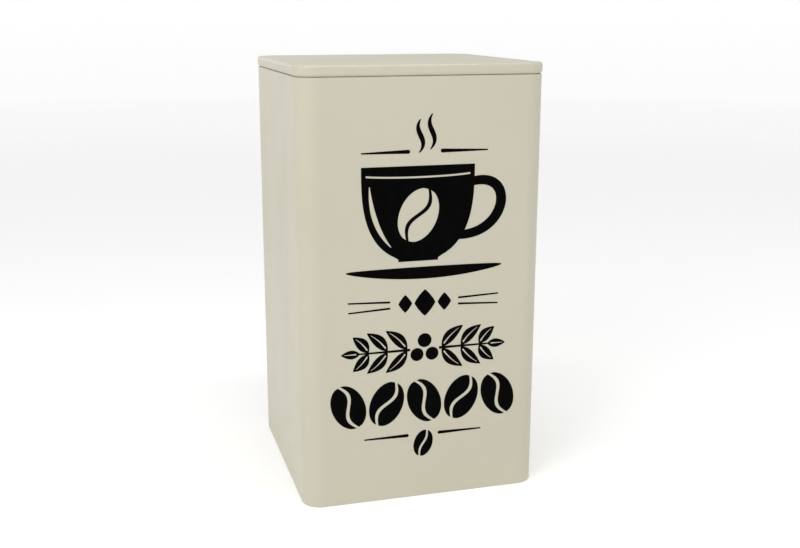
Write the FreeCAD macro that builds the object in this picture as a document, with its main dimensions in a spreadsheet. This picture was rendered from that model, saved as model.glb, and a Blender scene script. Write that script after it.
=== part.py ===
import FreeCAD, Part
import math
import os
import Sketcher
from FreeCAD import Vector

# Square coffee tin with a lift-off lid: a rolled tinplate wall, a base panel held in its
# bottom hem, a drawn lid cap, a moulded plug inside the cap and a soft seal round the plug.
# Millimetres, +Z up, origin at the centre of the underside, front face towards -Y.

doc = FreeCAD.newDocument("coffee_tin")

# ---------------------------------------------------------------- driving dimensions
sheet = doc.addObject("Spreadsheet::Sheet", "Sizes")
SIZES = [
    ("body_side", 110.0),          # outside width and depth of the painted wall
    ("corner_radius", 8.5),        # upright corners of the wall
    ("total_height", 195.0),       # floor to lid top
    ("sheet_thickness", 0.3),      # tinplate gauge
    ("curl_radius", 0.7),          # outside radius of the rolled mouth edge
    ("curl_angle", 280.0),         # how far round the mouth edge is rolled
    ("hem_gap", 0.4),              # width of the channel that holds the base panel
    ("hem_height", 4.0),           # height of the turned-up leg of the hem
    ("seam_lap", 8.0),             # width of the inside lap of the side seam
    ("seam_start", 7.0),           # where the inside lap begins above the floor
    ("seam_stop", 186.0),          # where it ends below the mouth curl
    ("seam_line", 0.3),            # width of the outside seam line
    ("seam_line_depth", 0.15),
    ("base_fit", 0.05),            # gap between the base flange and the channel walls
    ("base_lift", 0.75),           # lower edge of the base flange above the floor
    ("base_top", 5.5),             # upper face of the base panel above the floor
    ("base_edge_radius", 1.6),
    ("emboss_side", 80.0),         # stiffening panel raised in the base
    ("emboss_corner", 12.0),
    ("emboss_rise", 0.8),
    ("emboss_draft", 45.0),
    ("emboss_round", 0.7),
    ("lid_height", 4.9),           # visible height of the lid cap
    ("lid_gap", 0.03),             # height from the mouth to the underside of the lid
    ("lid_overhang", 0.25),        # lid beyond the wall on every side
    ("lid_top_radius", 1.2),
    ("lid_lip_radius", 1.5),
    ("lid_lip_reach", 2.2),        # how far the turned-in lip reaches inward
    ("lid_border", 1.5),           # flat run of the drawn edge before the centre panel
    ("panel_lap", 0.5),            # overlap of the centre panel and that edge
    ("plug_depth", 12.0),          # plug below the mouth
    ("plug_inset", 3.8),           # plug wall inside the outer face of the tin
    ("plug_wall", 1.6),
    ("plug_ceiling", 1.5),
    ("plug_fit", 0.1),             # gap between plug ceiling and lid sheet
    ("plug_edge_radius", 0.7),
    ("flange_reach", 2.5),         # flange beyond the plug wall
    ("flange_thickness", 1.2),
    ("flange_fit", 0.05),          # gap between flange and lid lip
    ("gate_diameter", 6.0),        # moulding gate mark inside the plug
    ("gate_depth", 0.4),
    ("groove_top", 0.4),           # seal groove below the mouth
    ("groove_height", 3.6),
    ("groove_depth", 0.7),
    ("seal_fit", 0.03),            # gap between seal band and groove
    ("seal_band", 1.0),            # thickness of the seal band
    ("fin_clearance", 0.1),        # seal fins to the mouth curl
    ("fin_thickness", 0.45),
    ("fin_tip", 0.27),
    ("fin_rise", 0.8),             # how much each fin climbs towards its tip
    ("fin_start", 0.35),
    ("fin_pitch", 1.6),
]
for row, (alias, number) in enumerate(SIZES, start=1):
    sheet.set("A%d" % row, alias)
    sheet.set("B%d" % row, str(number))
    sheet.setAlias("B%d" % row, alias)
doc.recompute()


# ---------------------------------------------------------------- helpers
def size(alias):
    """Expression text for one cell of the sheet."""
    return "Sizes." + alias


def value(expression):
    """Number an expression stands for at the present sizes."""
    result = sheet.evalExpression(expression)
    return float(getattr(result, "Value", result))


def new_body(label, height="0"):
    """Empty body whose own zero level stands at the given height."""
    body = doc.addObject("PartDesign::Body", label)
    body.Label = label
    body.setExpression("Placement.Base.z", height)
    return body


def new_sketch(body, name, role, offset=None):
    """Sketch on one of the body's own planes, raised by an optional offset."""
    plane = [item for item in body.Origin.OriginFeatures if item.Role == role][0]
    sketch = body.newObject("Sketcher::SketchObject", body.Label + "_" + name)
    sketch.AttachmentSupport = [(plane, "")]
    sketch.MapMode = "FlatFace"
    if offset is not None:
        sketch.setExpression("AttachmentOffset.Base.z", offset)
    return sketch


def drive(sketch, kind, references, expression):
    """Add a dimension to a sketch and bind it to an expression."""
    index = sketch.addConstraint(Sketcher.Constraint(kind, *references, value(expression)))
    sketch.setExpression("Constraints[%d]" % index, expression)


def rounded_square(body, name, half, radius, offset=None):
    """Centred square with round corners, starting on the +X side at Y = 0."""
    sketch = new_sketch(body, name, "XY_Plane", offset)
    h = value(half)
    k = h - value(radius)
    stops = [(h, 0), (h, k), (k, h), (-k, h), (-h, k), (-h, -k), (-k, -h), (k, -h), (h, -k), (h, 0)]
    centres = {1: (k, k), 3: (-k, k), 5: (-k, -k), 7: (k, -k)}
    for index in range(9):
        start = Vector(*stops[index], 0)
        end = Vector(*stops[index + 1], 0)
        if index in centres:
            middle = Vector(*centres[index], 0)
            turn = math.radians(45 * (index - 1))
            circle = Part.Circle(middle, Vector(0, 0, 1), h - k)
            sketch.addGeometry(Part.ArcOfCircle(circle, turn, turn + math.pi / 2), False)
        else:
            sketch.addGeometry(Part.LineSegment(start, end), False)
    for index in range(8):
        sketch.addConstraint(Sketcher.Constraint("Tangent", index, 2, index + 1, 1))
    sketch.addConstraint(Sketcher.Constraint("Coincident", 8, 2, 0, 1))
    sketch.addConstraint(Sketcher.Constraint("PointOnObject", 0, 1, -1))
    for index in (0, 4, 8):
        sketch.addConstraint(Sketcher.Constraint("Vertical", index))
    for index in (2, 6):
        sketch.addConstraint(Sketcher.Constraint("Horizontal", index))
    for index in (3, 5, 7):
        sketch.addConstraint(Sketcher.Constraint("Equal", 1, index))
    drive(sketch, "Radius", (1,), radius)
    drive(sketch, "DistanceX", (-1, 1, 0, 1), half)
    drive(sketch, "DistanceY", (-1, 1, 2, 1), half)
    drive(sketch, "DistanceX", (4, 1, -1, 1), half)
    drive(sketch, "DistanceY", (6, 1, -1, 1), half)
    return sketch


def section(body, name, corners):
    """Closed outline in the XZ plane.

    Each corner is (x, z) when a straight edge follows it, or (x, z, centre_x, centre_z, way)
    when an arc follows it; way is +1 for anticlockwise and -1 for clockwise.
    """
    sketch = new_sketch(body, name, "XZ_Plane")
    count = len(corners)
    spots = [Vector(value(corner[0]), value(corner[1]), 0) for corner in corners]
    for index, corner in enumerate(corners):
        start = spots[index]
        end = spots[(index + 1) % count]
        if len(corner) == 2:
            sketch.addGeometry(Part.LineSegment(start, end), False)
            continue
        middle = Vector(value(corner[2]), value(corner[3]), 0)
        first, last = (start, end) if corner[4] > 0 else (end, start)
        begin = math.atan2(first.y - middle.y, first.x - middle.x)
        finish = math.atan2(last.y - middle.y, last.x - middle.x)
        if finish <= begin:
            finish += 2 * math.pi
        circle = Part.Circle(middle, Vector(0, 0, 1), (start - middle).Length)
        sketch.addGeometry(Part.ArcOfCircle(circle, begin, finish), False)

    def ends(index):
        """Point numbers of an edge where the outline enters and leaves it."""
        corner = corners[index % count]
        return (2, 1) if len(corner) > 2 and corner[4] < 0 else (1, 2)

    for index in range(count):
        after = (index + 1) % count
        joint = Sketcher.Constraint("Coincident", index, ends(index)[1], after, ends(after)[0])
        sketch.addConstraint(joint)
    for index, corner in enumerate(corners):
        entry = ends(index)[0]
        drive(sketch, "DistanceX", (-1, 1, index, entry), corner[0])
        drive(sketch, "DistanceY", (-1, 1, index, entry), corner[1])
        if len(corner) > 2:
            chord = spots[(index + 1) % count] - spots[index]
            if abs(chord.y) > abs(chord.x):
                drive(sketch, "DistanceX", (-1, 1, index, 3), corner[2])
            else:
                drive(sketch, "DistanceY", (-1, 1, index, 3), corner[3])
    return sketch


def rectangle(sketch, width, near, far):
    """Rectangle centred on X = 0 between two distances along Y."""
    w = value(width) / 2
    y0 = value(near)
    y1 = value(far)
    points = [Vector(-w, y0, 0), Vector(w, y0, 0), Vector(w, y1, 0), Vector(-w, y1, 0)]
    for index in range(4):
        sketch.addGeometry(Part.LineSegment(points[index], points[(index + 1) % 4]), False)
    for index in range(4):
        sketch.addConstraint(Sketcher.Constraint("Coincident", index, 2, (index + 1) % 4, 1))
    for index, kind in enumerate(["Horizontal", "Vertical", "Horizontal", "Vertical"]):
        sketch.addConstraint(Sketcher.Constraint(kind, index))
    drive(sketch, "DistanceX", (0, 1, 0, 2), width)
    drive(sketch, "DistanceX", (-1, 1, 0, 2), "%s / 2" % width)
    drive(sketch, "DistanceY", (-1, 1, 0, 1), near)
    drive(sketch, "DistanceY", (-1, 1, 2, 1), far)


def sweep(body, name, profile, path, kind="AdditivePipe"):
    """Carry a section round a path."""
    feature = body.newObject("PartDesign::" + kind, body.Label + "_" + name)
    feature.Profile = profile
    feature.Spine = path
    profile.Visibility = False
    path.Visibility = False
    body.Tip = feature
    doc.recompute()
    return feature


def pad(body, name, profile, length, draft=None):
    """Raise a sketch by a length, leaning inward by an optional draft."""
    feature = body.newObject("PartDesign::Pad", body.Label + "_" + name)
    feature.Profile = profile
    feature.setExpression("Length", length)
    if draft is not None:
        feature.setExpression("TaperAngle", "-(%s)" % draft)
    profile.Visibility = False
    body.Tip = feature
    doc.recompute()
    return feature


def pocket(body, name, profile, depth, upward=False):
    """Cut a sketch to a depth below its plane, or above it when upward is set."""
    before = body.Shape.Volume
    feature = body.newObject("PartDesign::Pocket", body.Label + "_" + name)
    feature.Profile = profile
    feature.Reversed = upward
    feature.setExpression("Length", depth)
    profile.Visibility = False
    body.Tip = feature
    doc.recompute()
    if not body.Shape.Volume < before:
        raise RuntimeError(name + " removes nothing")
    return feature


def fillet(body, name, base, edges, radius):
    """Round the named edges of the feature below."""
    feature = body.newObject("PartDesign::Fillet", body.Label + "_" + name)
    feature.Base = (base, edges)
    feature.setExpression("Radius", radius)
    body.Tip = feature
    doc.recompute()
    return feature


def edges_at(feature, levels, reach=1000.0):
    """Names of the edges that lie flat at one of the levels and within a reach of the axis."""
    names = []
    for number, edge in enumerate(feature.Shape.Edges, start=1):
        box = edge.BoundBox
        flat = any(abs(box.ZMin - z) < 1e-6 and abs(box.ZMax - z) < 1e-6 for z in levels)
        if flat and max(-box.XMin, box.XMax, -box.YMin, box.YMax) < reach:
            names.append("Edge%d" % number)
    return names


def face_at(feature, level):
    """Name of the flat face at one level."""
    for number, face in enumerate(feature.Shape.Faces, start=1):
        box = face.BoundBox
        if abs(box.ZMin - level) < 1e-6 and abs(box.ZMax - level) < 1e-6:
            return "Face%d" % number
    raise RuntimeError("no flat face at that level")


# ---------------------------------------------------------------- shared levels
half_side = size("body_side") + " / 2"
corner = size("corner_radius")
tin = size("sheet_thickness")
mouth = "(%s - %s - %s)" % (size("total_height"), size("lid_height"), size("lid_gap"))
lid_level = "(%s - %s)" % (size("total_height"), size("lid_height"))


# ---------------------------------------------------------------- body_wall
def make_body_wall():
    """One strip of tinplate: outside wall, rolled mouth and turned-up bottom hem."""
    body = new_body("body_wall")
    path = rounded_square(body, "Path", half_side, corner)
    curl = size("curl_radius")
    inner_curl = "(%s - %s)" % (curl, tin)
    curl_x = "(%s - %s)" % (half_side, curl)
    curl_z = "(%s - %s)" % (mouth, curl)
    end_x = "%s + %%s * cos(%s)" % (curl_x, size("curl_angle"))
    end_z = "%s + %%s * sin(%s)" % (curl_z, size("curl_angle"))
    inside = "(%s - %s)" % (half_side, tin)
    leg_outer = "(%s - %s)" % (inside, size("hem_gap"))
    leg_inner = "(%s - %s)" % (leg_outer, tin)
    hem_radius = size("hem_gap") + " / 2"
    hem_z = "(%s + %s)" % (tin, hem_radius)
    hem_x = "(%s - %s)" % (inside, hem_radius)
    profile = section(body, "Section", [
        (half_side, tin),
        (half_side, curl_z, curl_x, curl_z, 1),
        (end_x % curl, end_z % curl),
        (end_x % inner_curl, end_z % inner_curl, curl_x, curl_z, -1),
        (inside, curl_z),
        (inside, hem_z, hem_x, hem_z, -1),
        (leg_outer, hem_z),
        (leg_outer, size("hem_height")),
        (leg_inner, size("hem_height")),
        (leg_inner, tin, leg_outer, tin, 1),
        (leg_outer, "0"),
        (inside, "0", inside, tin, 1),
    ])
    sweep(body, "Strip", profile, path)

    lap = new_sketch(body, "LapOutline", "XY_Plane", size("seam_start"))
    rectangle(lap, size("seam_lap"), "(%s - %s)" % (inside, tin), "(%s - %s / 2)" % (half_side, tin))
    pad(body, "Lap", lap, "%s - %s" % (size("seam_stop"), size("seam_start")))

    line = new_sketch(body, "SeamOutline", "XY_Plane", tin)
    depth = "(%s - %s)" % (half_side, size("seam_line_depth"))
    rectangle(line, size("seam_line"), depth, "(%s + 1)" % half_side)
    pocket(body, "SeamLine", line, "%s - %s" % (curl_z, tin), upward=True)
    return body


# ---------------------------------------------------------------- base_panel
def make_base_panel():
    """Shallow pan, open downward, its flange standing in the hem channel of the wall."""
    body = new_body("base_panel", size("base_lift"))
    drop = "(%s + %s)" % (tin, size("base_fit"))
    rise = "(%s - %s)" % (size("base_top"), size("base_lift"))
    outline = rounded_square(body, "Outline", "%s - %s" % (half_side, drop),
                             "%s - %s" % (corner, drop))
    block = pad(body, "Block", outline, rise)
    level = value(rise)
    fillet(body, "EdgeRound", block, edges_at(block, [level]), size("base_edge_radius"))
    panel = rounded_square(body, "PanelOutline", "%s / 2" % size("emboss_side"),
                           size("emboss_corner"), rise)
    raised = pad(body, "Panel", panel, size("emboss_rise"), size("emboss_draft"))
    crest = level + value(size("emboss_rise"))
    bends = edges_at(raised, [level, crest], value(size("emboss_side")) / 2 + 1)
    pressed = fillet(body, "PanelRound", raised, bends, size("emboss_round"))
    hollow = body.newObject("PartDesign::Thickness", "base_panel_Sheet")
    hollow.Base = (pressed, [face_at(pressed, 0.0)])
    hollow.setExpression("Value", tin)
    hollow.Reversed = True
    hollow.Join = 0
    body.Tip = hollow
    doc.recompute()
    return body


# ---------------------------------------------------------------- lid_shell
def make_lid_shell():
    """Drawn cap: flat top, rounded shoulder, upright skirt and a lip turned inward."""
    body = new_body("lid_shell", lid_level)
    side = "(%s + %s)" % (half_side, size("lid_overhang"))
    path = rounded_square(body, "Path", side, "%s + %s" % (corner, size("lid_overhang")))
    inside = "(%s - %s)" % (side, tin)
    top = size("lid_height")
    under = "(%s - %s)" % (top, tin)
    shoulder_x = "(%s - %s)" % (side, size("lid_top_radius"))
    shoulder_z = "(%s - %s)" % (top, size("lid_top_radius"))
    turn_x = "(%s - %s)" % (side, size("lid_lip_radius"))
    turn_z = size("lid_lip_radius")
    tip = "(%s - %s)" % (side, size("lid_lip_reach"))
    edge = "(%s - %s)" % (shoulder_x, size("lid_border"))
    profile = section(body, "Section", [
        (tip, "0"),
        (turn_x, "0", turn_x, turn_z, 1),
        (side, turn_z),
        (side, shoulder_z, shoulder_x, shoulder_z, 1),
        (shoulder_x, top),
        (edge, top),
        (edge, under),
        (shoulder_x, under, shoulder_x, shoulder_z, -1),
        (inside, shoulder_z),
        (inside, turn_z, turn_x, turn_z, -1),
        (turn_x, tin),
        (tip, tin),
    ])
    sweep(body, "Skirt", profile, path)
    panel_half = "(%s + %s)" % (edge, size("panel_lap"))
    panel_corner = "%s - (%s - %s)" % (corner, half_side, panel_half)
    panel = rounded_square(body, "PanelOutline", panel_half, panel_corner, under)
    pad(body, "Panel", panel, tin)
    return body


# ---------------------------------------------------------------- lid_plug
def make_lid_plug():
    """Moulded plug: wall that enters the mouth, flange caught above the lid lip, ceiling."""
    body = new_body("lid_plug", "%s - %s" % (mouth, size("plug_depth")))
    wall = "(%s - %s)" % (half_side, size("plug_inset"))
    wall_corner = "(%s - %s)" % (corner, size("plug_inset"))
    top = "(%s + %s + %s - %s - %s)" % (size("plug_depth"), size("lid_gap"), size("lid_height"),
                                        tin, size("plug_fit"))
    outline = rounded_square(body, "Outline", wall, wall_corner)
    block = pad(body, "Block", outline, top)

    flange_z = "(%s + %s + %s + %s)" % (size("plug_depth"), size("lid_gap"), tin, size("flange_fit"))
    reach = size("flange_reach")
    flange = rounded_square(body, "FlangeOutline", "%s + %s" % (wall, reach),
                            "%s + %s" % (wall_corner, reach), flange_z)
    pad(body, "Flange", flange, size("flange_thickness"))

    inner = "(%s - %s)" % (wall, size("plug_wall"))
    cavity = rounded_square(body, "CavityOutline", inner,
                            "%s - %s" % (wall_corner, size("plug_wall")))
    pocket(body, "Cavity", cavity, "%s - %s" % (top, size("plug_ceiling")), upward=True)

    path = rounded_square(body, "GroovePath", wall, wall_corner)
    bottom = "(%s - %s - %s)" % (size("plug_depth"), size("groove_top"), size("groove_height"))
    ceiling = "(%s - %s)" % (size("plug_depth"), size("groove_top"))
    floor = "(%s - %s)" % (wall, size("groove_depth"))
    outside = "(%s + %s)" % (wall, size("groove_depth"))
    groove = section(body, "GrooveSection", [
        (floor, bottom),
        (outside, bottom),
        (outside, ceiling),
        (floor, ceiling),
    ])
    grooved = sweep(body, "Groove", groove, path, "SubtractivePipe")
    rim = fillet(body, "RimRound", grooved, edges_at(grooved, [0.0]), size("plug_edge_radius"))

    gate = new_sketch(body, "GateOutline", "XY_Plane", "%s - %s" % (top, size("plug_ceiling")))
    gate.addGeometry(Part.Circle(Vector(0, 0, 0), Vector(0, 0, 1), value(size("gate_diameter")) / 2))
    gate.addConstraint(Sketcher.Constraint("Coincident", 0, 3, -1, 1))
    drive(gate, "Diameter", (0,), size("gate_diameter"))
    pocket(body, "GateMark", gate, size("gate_depth"), upward=True)
    return body


# ---------------------------------------------------------------- lid_seal
def make_lid_seal():
    """Soft ring in the plug groove with two fins that wipe the inside of the mouth."""
    body = new_body("lid_seal", "%s - %s - %s" % (mouth, size("groove_top"), size("groove_height")))
    wall = "(%s - %s)" % (half_side, size("plug_inset"))
    path = rounded_square(body, "Path", wall, "%s - %s" % (corner, size("plug_inset")))
    back = "(%s - %s + %s)" % (wall, size("groove_depth"), size("seal_fit"))
    front = "(%s + %s)" % (back, size("seal_band"))
    tip = "(%s - 2 * %s - %s)" % (half_side, size("curl_radius"), size("fin_clearance"))
    low = size("seal_fit")
    high = "(%s - %s)" % (size("groove_height"), size("seal_fit"))
    outline = [(back, low), (front, low)]
    for number in range(2):
        root = "(%s + %s * %d)" % (size("fin_start"), size("fin_pitch"), number)
        tip_low = "(%s + %s)" % (root, size("fin_rise"))
        outline += [
            (front, root),
            (tip, tip_low),
            (tip, "%s + %s" % (tip_low, size("fin_tip"))),
            (front, "%s + %s" % (root, size("fin_thickness"))),
        ]
    outline += [(front, high), (back, high)]
    sweep(body, "Ring", section(body, "Section", outline), path)
    return body


bodies = [
    make_body_wall(),
    make_base_panel(),
    make_lid_shell(),
    make_lid_plug(),
    make_lid_seal(),
]

# ---------------------------------------------------------------- checks and export
doc.recompute()
for item in doc.Objects:
    if "Invalid" in item.State or "Error" in item.State:
        raise RuntimeError("%s did not rebuild: %s" % (item.Label, item.State))
for body in bodies:
    if body.Shape.isNull() or not body.Shape.isValid():
        raise RuntimeError(body.Label + " has no sound shape")
    if len(body.Shape.Solids) != 1:
        raise RuntimeError(body.Label + " is not one solid")

os.makedirs("parts", exist_ok=True)
for body in bodies:
    body.Shape.exportStep("parts/%s.step" % body.Label)
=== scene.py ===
import math

import bpy
from mathutils import Matrix, Vector


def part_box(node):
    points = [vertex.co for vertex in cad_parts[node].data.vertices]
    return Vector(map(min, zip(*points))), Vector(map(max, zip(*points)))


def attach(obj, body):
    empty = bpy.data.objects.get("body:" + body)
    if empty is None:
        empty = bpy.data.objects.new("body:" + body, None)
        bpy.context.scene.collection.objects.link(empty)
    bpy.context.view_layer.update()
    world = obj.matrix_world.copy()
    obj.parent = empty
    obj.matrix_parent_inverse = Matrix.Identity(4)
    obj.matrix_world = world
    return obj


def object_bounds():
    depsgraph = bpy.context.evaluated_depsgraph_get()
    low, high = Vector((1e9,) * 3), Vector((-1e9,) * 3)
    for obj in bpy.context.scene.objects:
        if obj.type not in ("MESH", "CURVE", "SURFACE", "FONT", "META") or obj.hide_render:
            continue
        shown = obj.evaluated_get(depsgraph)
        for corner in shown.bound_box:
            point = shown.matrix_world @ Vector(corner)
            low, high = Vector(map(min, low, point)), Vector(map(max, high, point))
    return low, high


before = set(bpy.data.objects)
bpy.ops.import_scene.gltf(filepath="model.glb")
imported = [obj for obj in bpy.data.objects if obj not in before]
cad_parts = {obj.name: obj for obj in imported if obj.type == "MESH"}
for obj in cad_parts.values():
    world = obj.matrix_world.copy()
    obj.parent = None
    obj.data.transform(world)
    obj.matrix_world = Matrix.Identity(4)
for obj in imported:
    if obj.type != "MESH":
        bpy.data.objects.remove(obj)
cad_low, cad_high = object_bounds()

MM = 0.001

# ------------------------------------------------------------------ camera
AIM_HEIGHT = 95.0 * MM
AZIMUTH = math.radians(-15.68)
ELEVATION = math.radians(13.47)
DISTANCE = 0.5159
LENS = 47.59
SHIFT = (0.0111, -0.0083)
SENSOR_WIDTH = 36.0
CLIP_START = 0.01
CLIP_END = 500.0


def outward(azimuth, elevation):
    """Unit vector from the object towards a viewer; azimuth 0 stands in front, at -Y."""
    level = math.cos(elevation)
    return Vector((math.sin(azimuth) * level, -math.cos(azimuth) * level, math.sin(elevation)))


camera_data = bpy.data.cameras.new("camera")
camera_data.lens = LENS
camera_data.sensor_width = SENSOR_WIDTH
camera_data.shift_x, camera_data.shift_y = SHIFT
camera_data.clip_start = CLIP_START
camera_data.clip_end = CLIP_END
camera = bpy.data.objects.new("camera", camera_data)
bpy.context.scene.collection.objects.link(camera)
back = outward(AZIMUTH, ELEVATION)
camera.location = Vector((0.0, 0.0, AIM_HEIGHT)) + back * DISTANCE
camera.rotation_euler = back.to_track_quat("Z", "Y").to_euler()
bpy.context.scene.camera = camera


# ------------------------------------------------------------------ materials
class Nodes:
    """Short way to lay out a node material."""

    def __init__(self, name):
        self.material = bpy.data.materials.new(name)
        self.material.use_nodes = True
        self.tree = self.material.node_tree
        self.shader = self.tree.nodes["Principled BSDF"]
        self.place = self.add("ShaderNodeTexCoord").outputs["Object"]

    def add(self, kind, inputs=None, **settings):
        """New node with its settings and its inputs filled in."""
        node = self.tree.nodes.new(kind)
        for key, value in settings.items():
            setattr(node, key, value)
        for key, value in (inputs or {}).items():
            self.feed(node.inputs[key], value)
        return node

    def feed(self, socket, value):
        """Link a socket to another one, or give it a value."""
        if isinstance(value, bpy.types.NodeSocket):
            self.tree.links.new(value, socket)
        else:
            socket.default_value = value

    def math(self, operation, first, second=0.0):
        """Result of one sum on two numbers; some operations read only the first."""
        node = self.add("ShaderNodeMath", {0: first, 1: second}, operation=operation)
        return node.outputs[0]

    def noise(self, scale, detail=2.0, roughness=0.5, stretch=None):
        """Noise with so many waves to the metre, drawn out where stretch is under one."""
        source = self.place
        if stretch is not None:
            mapping = self.add("ShaderNodeMapping", {"Vector": source, "Scale": stretch})
            source = mapping.outputs[0]
        node = self.add("ShaderNodeTexNoise", {
            "Vector": source, "Scale": scale, "Detail": detail, "Roughness": roughness,
        })
        return node.outputs["Fac"]

    def spread(self, source, low, high, floor=0.3, ceiling=0.7):
        """Map the middle of a noise to a range."""
        node = self.add("ShaderNodeMapRange", {
            "Value": source, "From Min": floor, "From Max": ceiling, "To Min": low, "To Max": high,
        })
        return node.outputs[0]

    def mix(self, factor, first, second, data_type="RGBA"):
        """Blend of two colours, or of two numbers with data_type FLOAT."""
        node = self.add("ShaderNodeMix", data_type=data_type)
        self.feed(node.inputs["Factor"], factor)
        self.feed(node.inputs["A"], first)
        self.feed(node.inputs["B"], second)
        return node.outputs["Result"]

    def bump(self, height, depth, normal=None):
        """Relief of a given depth in metres, on top of an earlier one."""
        inputs = {"Height": height, "Distance": depth, "Strength": 1.0}
        if normal is not None:
            inputs["Normal"] = normal
        return self.add("ShaderNodeBump", inputs).outputs[0]

    def set(self, **values):
        """Fill the shader's inputs; an underscore stands for a space."""
        for key, value in values.items():
            self.feed(self.shader.inputs[key.replace("_", " ")], value)


def srgb(red, green, blue):
    """Linear colour with full alpha from 0-255 display values."""
    def linear(channel):
        c = channel / 255
        return c / 12.92 if c <= 0.04045 else ((c + 0.055) / 1.055) ** 2.4
    return (linear(red), linear(green), linear(blue), 1.0)


PAINT_LIGHT = srgb(196, 192, 174)
PAINT_DARK = srgb(191, 187, 168)
PAINT_CLOUD = 0.7               # share of the slow change between the two tones
PAINT_SPECK = 0.12              # share of the fine change
PAINT_ROUGHNESS = (0.33, 0.42)
PAINT_GLOSS = 0.16
SHEET_WAVES = 0.02 * MM         # depth of the long waves in the sheet
ORANGE_PEEL = 0.0035 * MM       # depth of the fine ripple of the paint
EDGE_GLOSS = 0.45
EDGE_ROUGHNESS = 0.2
LID_CORNER = 8.75 * MM          # upright corners of the lid
SHOULDER = 1.2 * MM             # rounded edge round the lid top
WALL_CORNER = 8.5 * MM          # upright corners of the wall
WALL_SKIN = 0.23 * MM           # deeper than the seam line and short of the inside face
HEM_TOP = 4.2 * MM              # the paint reaches round the foot and up the hem
MOUTH_PAINT = 2.5 * MM          # the paint reaches this far down over the mouth


def paint_layers(nodes):
    """Colour, roughness and normal of satin stoving enamel on sheet metal."""
    cloud = nodes.spread(nodes.noise(14.0, 3.0), 0.0, 1.0)
    speck = nodes.spread(nodes.noise(2600.0), 0.0, 1.0)
    tone = nodes.mix(nodes.math("MULTIPLY", cloud, PAINT_CLOUD), PAINT_LIGHT, PAINT_DARK)
    tone = nodes.mix(nodes.math("MULTIPLY", speck, PAINT_SPECK), tone, PAINT_DARK)
    roughness = nodes.spread(nodes.noise(38.0, 4.0, 0.6), *PAINT_ROUGHNESS)
    waves = nodes.bump(nodes.noise(75.0, 1.0, 0.4), SHEET_WAVES)
    return tone, roughness, nodes.bump(nodes.noise(1500.0), ORANGE_PEEL, waves)


def corner_reach(nodes, axes, centre):
    """Distance beyond a square of half width centre, measured round its corners too."""
    reach = []
    for axis in (axes[0], axes[1]):
        past = nodes.math("SUBTRACT", nodes.math("ABSOLUTE", axis), centre)
        past = nodes.math("MAXIMUM", past, 0.0)
        reach.append(nodes.math("MULTIPLY", past, past))
    return nodes.math("SQRT", nodes.math("ADD", reach[0], reach[1]))


def make_lid_paint():
    """Enamel that is smoother and glossier on the rounded shoulder of the lid."""
    nodes = Nodes("satin_cream_enamel")
    tone, roughness, normal = paint_layers(nodes)
    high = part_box("lid_shell")[1]
    axes = nodes.add("ShaderNodeSeparateXYZ", {"Vector": nodes.place}).outputs
    reach = corner_reach(nodes, axes, high.x - LID_CORNER)
    outer = nodes.math("GREATER_THAN", reach, LID_CORNER - SHOULDER)
    upper = nodes.math("GREATER_THAN", axes[2], high.z - SHOULDER)
    edge = nodes.math("MULTIPLY", outer, upper)
    nodes.set(
        Base_Color=tone,
        Roughness=nodes.mix(edge, roughness, EDGE_ROUGHNESS, "FLOAT"),
        Specular_IOR_Level=nodes.mix(edge, PAINT_GLOSS, EDGE_GLOSS, "FLOAT"),
        Normal=normal,
    )
    return nodes.material


def make_wall_paint():
    """Enamel outside, lacquered tinplate inside, split by where the surface lies."""
    nodes = Nodes("satin_cream_enamel_outside")
    tone, roughness, normal = paint_layers(nodes)
    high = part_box("body_wall")[1]
    axes = nodes.add("ShaderNodeSeparateXYZ", {"Vector": nodes.place}).outputs
    reach = corner_reach(nodes, axes, high.x - WALL_CORNER)
    within = nodes.math("LESS_THAN", reach, WALL_CORNER - WALL_SKIN)
    above = nodes.math("GREATER_THAN", axes[2], HEM_TOP)
    below = nodes.math("LESS_THAN", axes[2], high.z - MOUTH_PAINT)
    inside = nodes.math("MULTIPLY", within, nodes.math("MULTIPLY", above, below))
    metal_tone, metal_roughness, _ = tinplate_layers(nodes, GRAIN_UPRIGHT)
    nodes.set(
        Specular_IOR_Level=PAINT_GLOSS,
        Base_Color=nodes.mix(inside, tone, metal_tone),
        Roughness=nodes.mix(inside, roughness, metal_roughness, "FLOAT"),
        Metallic=inside,
        Normal=normal,
    )
    return nodes.material


TIN_LIGHT = srgb(224, 221, 212)
TIN_DARK = srgb(210, 206, 196)
TIN_STREAK = srgb(190, 187, 177)
STREAK_SHARE = 0.25
TIN_ROUGHNESS = (0.29, 0.41)
GRAIN_DEPTH = 0.004 * MM
GRAIN_UPRIGHT = (1.0, 1.0, 0.03)
GRAIN_ALONG = (1.0, 0.03, 1.0)


def tinplate_layers(nodes, stretch):
    """Colour, roughness and rolling grain of clear-lacquered tinplate."""
    grain = nodes.noise(420.0, 3.0, 0.6, stretch)
    cloud = nodes.spread(nodes.noise(22.0, 3.0), 0.0, 1.0)
    tone = nodes.mix(cloud, TIN_LIGHT, TIN_DARK)
    tone = nodes.mix(nodes.spread(grain, 0.0, STREAK_SHARE), tone, TIN_STREAK)
    return tone, nodes.spread(grain, *TIN_ROUGHNESS), grain


def make_tinplate():
    nodes = Nodes("lacquered_tinplate")
    tone, roughness, grain = tinplate_layers(nodes, GRAIN_ALONG)
    normal = nodes.bump(grain, GRAIN_DEPTH)
    nodes.set(Base_Color=tone, Metallic=1.0, Roughness=roughness, Normal=normal)
    return nodes.material


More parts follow.
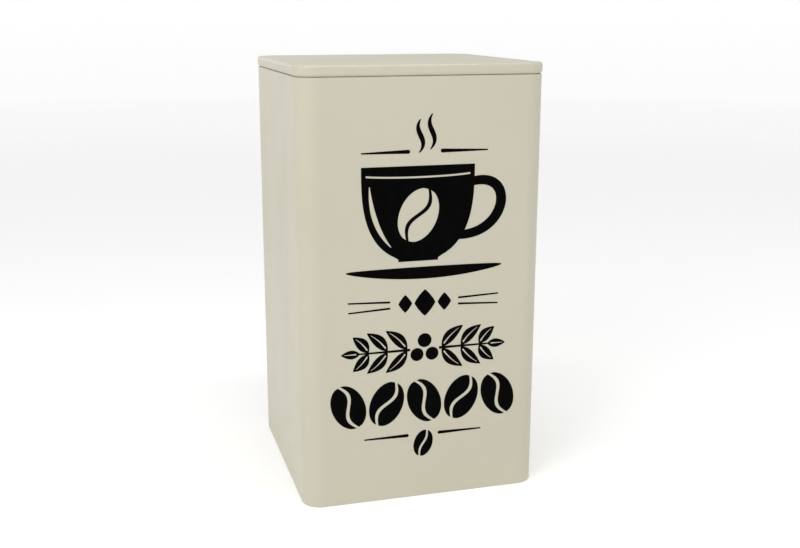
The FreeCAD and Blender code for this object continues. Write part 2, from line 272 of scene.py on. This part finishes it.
def make_plastic():
    nodes = Nodes("natural_polypropylene")
    cloud = nodes.spread(nodes.noise(30.0, 2.0), 0.0, 1.0)
    grain = nodes.noise(1800.0, 3.0, 0.6)
    nodes.set(
        Subsurface_Weight=0.25,
        Subsurface_Radius=(1.0, 1.0, 0.9),
        Subsurface_Scale=1.5 * MM,
        Base_Color=nodes.mix(cloud, srgb(218, 218, 211), srgb(211, 211, 203)),
        Roughness=nodes.spread(grain, 0.42, 0.52),
        Normal=nodes.bump(grain, 0.006 * MM),
    )
    return nodes.material


def make_silicone():
    nodes = Nodes("clear_silicone")
    cloud = nodes.spread(nodes.noise(60.0, 2.0), 0.0, 1.0)
    grain = nodes.noise(900.0, 2.0, 0.5)
    nodes.set(
        Subsurface_Weight=0.5,
        Subsurface_Radius=(1.0, 1.0, 1.0),
        Subsurface_Scale=2.0 * MM,
        IOR=1.41,
        Base_Color=nodes.mix(cloud, srgb(214, 217, 215), srgb(205, 208, 206)),
        Roughness=nodes.spread(grain, 0.3, 0.4),
        Normal=nodes.bump(grain, 0.004 * MM),
    )
    return nodes.material


INK_DARK = (0.0008, 0.0008, 0.0008, 1.0)
INK_LIGHT = (0.0018, 0.0018, 0.0017, 1.0)
INK_GLOSS = 0.02


def make_ink():
    nodes = Nodes("black_print_ink")
    cloud = nodes.spread(nodes.noise(160.0, 3.0), 0.0, 1.0)
    grain = nodes.noise(2200.0, 2.0, 0.5)
    nodes.set(
        Specular_IOR_Level=INK_GLOSS,
        Base_Color=nodes.mix(cloud, INK_DARK, INK_LIGHT),
        Roughness=nodes.spread(grain, 0.5, 0.6),
        Normal=nodes.bump(grain, 0.002 * MM),
    )
    return nodes.material


CAD_LOOKS = {
    "body_wall": make_wall_paint(),
    "base_panel": make_tinplate(),
    "lid_shell": make_lid_paint(),
    "lid_plug": make_plastic(),
    "lid_seal": make_silicone(),
}
for node, material in CAD_LOOKS.items():
    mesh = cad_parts[node].data
    mesh.materials.clear()
    mesh.materials.append(material)
INK = make_ink()


# ------------------------------------------------------------------ printed ornament
# Outlines are lists of (across, up) in millimetres on the front face.
FACE_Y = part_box("body_wall")[0].y
INK_PROUD = 0.05 * MM
INK_SUNK = 0.02 * MM
CROSSED_PROUD = 0.8 * INK_PROUD     # for pieces that run under another one
ELLIPSE_STEPS = 40


def print_piece(name, outlines, proud=INK_PROUD):
    """Closed flat solid from outlines; an outline inside another one is left unprinted."""
    curve = bpy.data.curves.new(name, "CURVE")
    curve.dimensions = "2D"
    curve.fill_mode = "BOTH"
    curve.extrude = (proud + INK_SUNK) / 2
    for outline in outlines:
        spline = curve.splines.new("POLY")
        spline.points.add(len(outline) - 1)
        for point, (across, up) in zip(spline.points, outline):
            point.co = (across * MM, up * MM, 0.0, 1.0)
        spline.use_cyclic_u = True
    holder = bpy.data.objects.new(name + "_curve", curve)
    bpy.context.scene.collection.objects.link(holder)
    bpy.context.view_layer.update()
    filled = holder.evaluated_get(bpy.context.evaluated_depsgraph_get())
    mesh = bpy.data.meshes.new_from_object(filled)
    bpy.data.objects.remove(holder)
    bpy.data.curves.remove(curve)
    centre = FACE_Y - (proud - INK_SUNK) / 2
    mesh.transform(Matrix.Translation((0.0, centre, 0.0)) @ Matrix.Rotation(math.pi / 2, 4, "X"))
    mesh.materials.clear()
    mesh.materials.append(INK)
    piece = bpy.data.objects.new(name, mesh)
    bpy.context.scene.collection.objects.link(piece)
    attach(piece, "tin")


def ellipse(across, up, half_width, half_height):
    turns = [2 * math.pi * i / ELLIPSE_STEPS for i in range(ELLIPSE_STEPS)]
    return [(across + half_width * math.cos(t), up + half_height * math.sin(t)) for t in turns]


def turned(outline, across, up, tilt):
    """Outline turned by a tilt in degrees, then shifted."""
    c = math.cos(math.radians(tilt))
    s = math.sin(math.radians(tilt))
    return [(across + x * c - y * s, up + x * s + y * c) for x, y in outline]


def mirrored(outlines, middle=0.0):
    """Outlines and their mirror images; both sets are then shifted to a middle line."""
    pairs = outlines + [[(-x, y) for x, y in outline] for outline in outlines]
    return [[(x + middle, y) for x, y in outline] for outline in pairs]


def bezier(a, b, c, d, count=24):
    """Points along a curve from a to d that b and c pull on."""
    points = []
    for i in range(count + 1):
        t = i / count
        weights = ((1 - t) ** 3, 3 * t * (1 - t) ** 2, 3 * t * t * (1 - t), t ** 3)
        points.append(tuple(sum(w * p[k] for w, p in zip(weights, (a, b, c, d))) for k in (0, 1)))
    return points


def stroke(line, width):
    """Outline of a brush stroke along a line; width is a function of the share travelled."""
    left, right = [], []
    last = len(line) - 1
    for i, (x, y) in enumerate(line):
        before, after = line[max(i - 1, 0)], line[min(i + 1, last)]
        dx, dy = after[0] - before[0], after[1] - before[1]
        half = width(i / last) / 2 / math.hypot(dx, dy)
        left.append((x - dy * half, y + dx * half))
        right.append((x + dy * half, y - dx * half))
    return left + right[::-1]


def bean(across, up, half_width, half_height, tilt, gap, sway=0.3):
    """Two halves of a coffee bean parted by a curved crease."""
    halves = []
    steps = 22
    reach = 0.985       # share of the half height where the crease meets the rim
    for side in (-1, 1):
        outline = []
        for i in range(steps + 1):
            q = reach * (2 * i / steps - 1)
            crease = sway * half_width * math.sin(math.pi * q)
            half_gap = gap / 2 * (1 - 0.3 * q * q)
            outline.append((crease + side * half_gap, q * half_height))
        top = math.asin(reach)
        for i in range(1, steps):
            t = top * (1 - 2 * i / steps)
            outline.append((side * half_width * math.cos(t), half_height * math.sin(t)))
        halves.append(turned(outline, across, up, tilt))
    return halves


def rule(start, end, thick, thin):
    """Straight rule with round ends that thins from its start to its end."""
    slope = math.degrees(math.atan2(end[1] - start[1], end[0] - start[0]))
    length = math.hypot(end[0] - start[0], end[1] - start[1])
    outline = []
    steps = 8
    for middle, width, first in ((0.0, thick, 90), (length, thin, -90)):
        for i in range(steps + 1):
            t = math.radians(first + 180 / steps * i)
            outline.append((middle + width / 2 * math.cos(t), width / 2 * math.sin(t)))
    return turned(outline, start[0], start[1], slope)


def leaf(across, up, length, width, tilt, bend):
    """Pointed leaf with an unprinted midrib, growing from its own base point."""
    steps = 16
    rib_steps = 12
    blade = []
    for side in (1, -1):
        for i in range(steps):
            t = i / steps if side == 1 else 1 - i / steps
            half = width / 2 * math.sin(math.pi * t ** 0.85) ** 0.9
            blade.append((t * length, side * half + bend * length * math.sin(math.pi * t)))
    rib = []
    for i in range(rib_steps + 1):
        t = 0.12 + 0.72 * i / rib_steps
        rib.append((t * length, bend * length * math.sin(math.pi * t)))
    rib = stroke(rib, lambda t: 0.2 + 0.5 * (1 - t))
    return [turned(blade, across, up, tilt), turned(rib, across, up, tilt)]


def wisp(foot, top, lean):
    """One S-shaped thread of steam, thickest in the middle."""
    rise = top[1] - foot[1]
    line = bezier(top, (foot[0] - lean, foot[1] + rise * 0.60),
                  (foot[0] + lean * 1.5, foot[1] + rise * 0.40), foot, 28)
    return stroke(line, lambda t: 0.3 + 1.9 * math.sin(math.pi * t) ** 0.75)


def star(across, up, half_width, half_height):
    """Four-pointed lozenge with hollow sides."""
    outline = []
    steps = 48
    power = 1.7         # over one for hollow sides
    for i in range(steps):
        t = 2 * math.pi * i / steps
        c, s = math.cos(t), math.sin(t)
        outline.append((across + half_width * math.copysign(abs(c) ** power, c),
                        up + half_height * math.copysign(abs(s) ** power, s)))
    return outline


def cup_bowl(middle, half, foot_half, top, foot):
    """Side view of a round cup on a narrow foot."""
    outline = []
    steps = 40
    for side in (1, -1):
        for i in range(steps + 1):
            t = i / steps if side == 1 else 1 - i / steps
            reach = max(half * (1 - t ** 3.0) ** 0.45, foot_half)
            outline.append((middle + side * reach, top - (top - foot) * t))
    return outline


# steam and upper rules
RULES_MIDDLE = -0.25
print_piece("print_steam", [
    wisp((-3.1, 157.9), (-2.4, 172.2), 3.6),
    wisp((1.9, 159.2), (2.9, 174.4), 3.8),
])
upper_rule = rule((7.65, 158.5), (28.05, 158.3), 1.7, 0.6)
print_piece("print_upper_rules", mirrored([upper_rule], RULES_MIDDLE))

# cup and saucer
CUP_MIDDLE = -3.2
bowl = cup_bowl(CUP_MIDDLE, 25.4, 9.0, 152.4, 110.8)
rim = stroke(bezier((-26.6, 148.4), (-15.0, 147.2), (9.0, 147.2), (20.2, 148.4)), lambda t: 0.8)
shine = stroke(bezier((-25.0, 144.0), (-24.6, 134.0), (-22.0, 124.5), (-15.5, 117.5), 20),
               lambda t: 0.4 + 1.8 * math.sin(math.pi * t))
print_piece("print_cup_bowl", [bowl, rim, shine] + bean(CUP_MIDDLE, 131.0, 8.6, 12.2, -24, 1.9))
handle = stroke(bezier((20.5, 144.6), (42.0, 150.0), (38.5, 119.5), (13.5, 121.5), 36),
                lambda t: 3.9 + 0.8 * math.sin(math.pi * t))
print_piece("print_cup_handle", [handle], CROSSED_PROUD)
shares = [i / 15 - 1 for i in range(31)]
saucer = [(35.5 * share, 105.4 + 1.7 * share ** 2) for share in shares]
print_piece("print_saucer", [stroke(saucer, lambda t: 0.5 + 4.9 * math.sin(math.pi * t) ** 0.7)])

# lozenges between paired rules
LOZENGE_UP = 91.8
lozenges = [star(0, LOZENGE_UP, 4.8, 6.0)] + mirrored([star(9.0, LOZENGE_UP, 3.1, 4.0)])
print_piece("print_centre_stars", lozenges)
print_piece("print_paired_rules", mirrored([
    rule((16.0, 93.0), (34.3, 93.7), 0.9, 0.65),
    rule((16.0, 90.2), (34.2, 89.3), 0.9, 0.65),
], RULES_MIDDLE))

# leaf spray with berries
STEM_UP = 70.5
stem = rule((7.2, STEM_UP), (31.0, STEM_UP), 1.2, 0.7)
print_piece("print_stems", mirrored([stem]), CROSSED_PROUD)
leaves = []
for foot, length, tilt in ((8.0, 13.6, 43), (17.0, 13.0, 43), (25.6, 10.4, 46)):
    leaves += leaf(foot, STEM_UP + 0.4, length, 5.2, tilt, 0.06)
    leaves += leaf(foot, STEM_UP - 0.4, length, 5.2, -tilt, -0.06)
leaves += leaf(29.6, STEM_UP, 8.6, 4.0, 0, 0.0)
print_piece("print_leaves", mirrored(leaves))
print_piece("print_berries", [ellipse(0, STEM_UP + 4.0, 3.2, 3.2)] + mirrored([
    ellipse(3.5, STEM_UP - 2.4, 3.0, 3.0),
]))

# row of beans, closing rules and one small bean
SMALL_BEAN_MIDDLE = -0.35
BEAN_PITCH = 17.5
row = []
for place in range(-2, 3):
    row += bean(BEAN_PITCH * place, 46.2, 7.5, 10.7, -24 if place % 2 else 24, 1.7)
print_piece("print_bean_row", row)
lower_rule = rule((7.6, 30.1), (27.3, 30.1), 1.5, 0.65)
print_piece("print_lower_rules", mirrored([lower_rule], SMALL_BEAN_MIDDLE))
print_piece("print_small_bean", bean(SMALL_BEAN_MIDDLE, 25.8, 4.4, 6.4, -16, 1.1, 0.16))

# ------------------------------------------------------------------ floor and light
COVE_RADIUS = 3.0
COVE_BEND = 0.5
COVE_HEIGHT = 0.6
COVE_STEPS = 10
COVE_TURNS = 96
FLOOR_DROP = 0.05 * MM          # keeps the floor clear of the foot
FLOOR_TONE = (0.86, 0.86, 0.86, 1.0)
FLOOR_GLOW = 0.23
WALL_GLOW = 0.36
GLOW_FROM = 0.4                 # distance where the glow starts to rise
GLOW_TO = 1.6
WHITE = (1.0, 1.0, 1.0, 1.0)
SKY_STRENGTH = 0.6
LIGHT_AIM = Vector((0.0, 0.0, 0.1))
# name: azimuth, elevation, distance, width, height, power, as softbox() takes them
SOFTBOXES = {
    "key_softbox": (-48, 35, 1.0, 0.4, 0.4, 2.2),
    "left_strip": (-80, 14, 0.9, 0.12, 0.5, 0.25),
    "front_softbox": (-12, 52, 0.95, 0.6, 0.3, 0.5),
    "overhead_strip": (-12, 76, 0.8, 0.7, 0.08, 1.95),
    "right_softbox": (80, 20, 0.9, 0.4, 0.5, 0.5),
}


def make_cove():
    """Pale floor that curves up into a round wall, so that every side has the same backdrop."""
    profile = [(0.0, 0.0)]
    for i in range(COVE_STEPS + 1):
        t = math.pi / 2 * i / COVE_STEPS
        profile.append((COVE_RADIUS - COVE_BEND * (1 - math.sin(t)), COVE_BEND * (1 - math.cos(t))))
    profile.append((COVE_RADIUS, COVE_HEIGHT))
    vertices = [(0.0, 0.0, 0.0)]
    for reach, height in profile[1:]:
        for i in range(COVE_TURNS):
            turn = 2 * math.pi * i / COVE_TURNS
            vertices.append((reach * math.cos(turn), reach * math.sin(turn), height))
    faces = [(0, 1 + i, 1 + (i + 1) % COVE_TURNS) for i in range(COVE_TURNS)]
    for ring in range(len(profile) - 2):
        low, high = 1 + ring * COVE_TURNS, 1 + (ring + 1) * COVE_TURNS
        for i in range(COVE_TURNS):
            after = (i + 1) % COVE_TURNS
            faces.append((low + i, high + i, high + after, low + after))
    mesh = bpy.data.meshes.new("floor")
    mesh.from_pydata(vertices, [], faces)
    mesh.polygons.foreach_set("use_smooth", [True] * len(faces))
    floor = bpy.data.objects.new("floor", mesh)
    floor.location.z = cad_low.z - FLOOR_DROP
    bpy.context.scene.collection.objects.link(floor)
    nodes = Nodes("pale_floor")
    far = nodes.add("ShaderNodeVectorMath", {0: nodes.place}, operation="LENGTH").outputs["Value"]
    glow = nodes.spread(far, FLOOR_GLOW, WALL_GLOW, GLOW_FROM, GLOW_TO)
    nodes.set(Base_Color=FLOOR_TONE, Roughness=0.9, Emission_Color=WHITE, Emission_Strength=glow)
    mesh.materials.append(nodes.material)


def softbox(name, azimuth, elevation, distance, width, height, power):
    """Rectangular lamp that faces the object; angles in degrees, power in watts."""
    light = bpy.data.lights.new(name, "AREA")
    light.shape = "RECTANGLE"
    light.size = width
    light.size_y = height
    light.energy = power
    lamp = bpy.data.objects.new(name, light)
    direction = outward(math.radians(azimuth), math.radians(elevation))
    lamp.location = LIGHT_AIM + direction * distance
    lamp.rotation_euler = direction.to_track_quat("Z", "Y").to_euler()
    bpy.context.scene.collection.objects.link(lamp)


make_cove()
for name, settings in SOFTBOXES.items():
    softbox(name, *settings)

world = bpy.data.worlds.new("studio")
world.use_nodes = True
sky = world.node_tree.nodes["Background"]
sky.inputs["Color"].default_value = WHITE
sky.inputs["Strength"].default_value = SKY_STRENGTH
bpy.context.scene.world = world
bpy.context.scene.view_settings.view_transform = "Standard"
